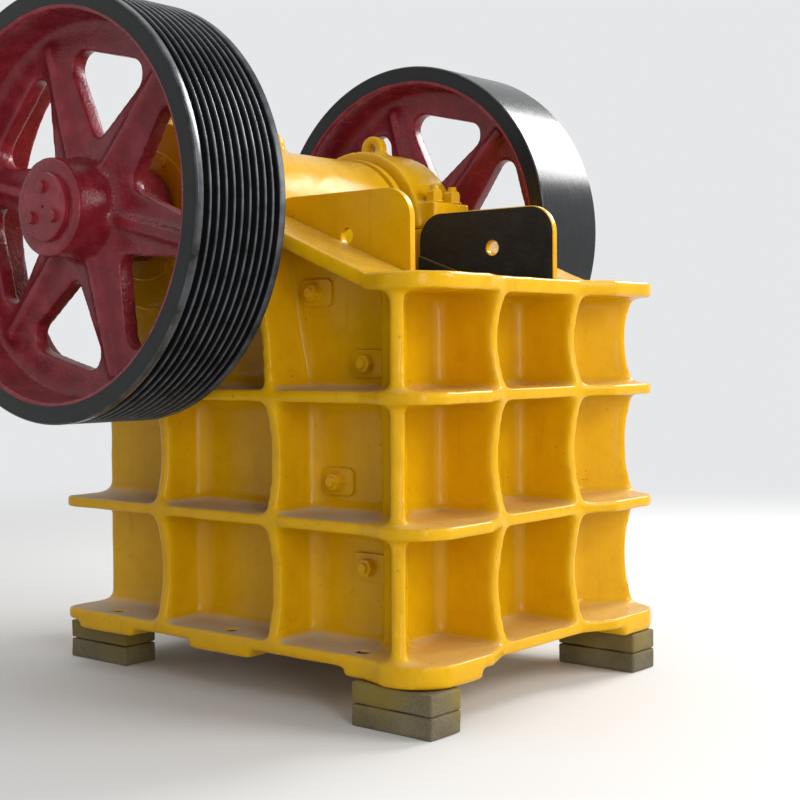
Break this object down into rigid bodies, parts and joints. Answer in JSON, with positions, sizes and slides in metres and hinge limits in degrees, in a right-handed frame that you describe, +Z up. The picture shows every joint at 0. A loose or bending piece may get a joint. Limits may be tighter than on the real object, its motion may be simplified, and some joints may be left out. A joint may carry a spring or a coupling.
{
  "type": "jaw crusher",
  "caption": "Single toggle jaw crusher: ribbed cast frame, eccentric shaft with grooved sheave and flywheel, toothed swing and fixed jaws, on stacked bricks.",
  "frame": {"origin": "middle of the bounding box's underside, on the ground under the bricks", "axes": "+X along the shaft towards the flywheel, -Y towards the feed end, +Z up"},
  "size_m": [1.748, 1.645, 1.7808],
  "materials": {
    "yellow_paint": "glossy golden yellow paint over rough casting, dusty on its shelves",
    "red_paint": "glossy crimson paint on the spokes, black paint on the rims",
    "manganese_steel": "dark cast manganese steel with a thin coat of black paint",
    "oiled_steel": "turned steel, oiled",
    "fired_brick": "rough dusty fired brick"
  },
  "bodies": {
    "frame": {"side_wall_left": "yellow_paint", "side_wall_right": "yellow_paint", "front_wall": "yellow_paint", "rear_wall": "yellow_paint", "bearing_cap_left": "yellow_paint", "bearing_cap_right": "yellow_paint", "cap_bolts_left": "yellow_paint", "cap_bolts_right": "yellow_paint", "bearing_cover_left": "yellow_paint", "bearing_cover_right": "yellow_paint", "seal_ring_left": "yellow_paint", "seal_ring_right": "yellow_paint", "fixed_jaw_plate": "manganese_steel", "upper_cheek_left": "manganese_steel", "upper_cheek_right": "manganese_steel", "lower_cheek_left": "manganese_steel", "lower_cheek_right": "manganese_steel", "guard_plate_left": "yellow_paint", "guard_plate_right": "yellow_paint", "cheek_bolts_left": "yellow_paint", "cheek_bolts_right": "yellow_paint", "toggle_plate": "oiled_steel", "rear_toggle_seat": "oiled_steel", "adjusting_block": "yellow_paint", "shim_pack": "oiled_steel", "tension_rod": "oiled_steel", "spring": "yellow_paint", "spring_seat": "yellow_paint", "rod_nuts": "oiled_steel", "lower_bricks": "fired_brick", "upper_bricks": "fired_brick"},
    "rotor": {"eccentric_shaft": "oiled_steel", "drive_sheave": "red_paint", "flywheel": "red_paint", "end_disc_left": "red_paint", "end_disc_right": "red_paint"},
    "swing_jaw_body": {"swing_jaw": "yellow_paint", "swing_jaw_plate": "manganese_steel", "jaw_wedge": "manganese_steel", "front_toggle_seat": "oiled_steel"}
  },
  "joints": [
    {"name": "rotor_spin", "type": "hinge", "parent": "frame", "child": "rotor", "pos_m": [0, 0.1225, 1.241], "axis": [1, 0, 0], "continuous": true},
    {"name": "swing_jaw_on_eccentric", "type": "hinge", "parent": "rotor", "child": "swing_jaw_body", "pos_m": [0, 0.1225, 1.231], "axis": [1, 0, 0], "continuous": true}
  ],
  "couplings": [
    {"joint": "swing_jaw_on_eccentric", "follows": "rotor_spin", "ratio": -1}
  ]
}
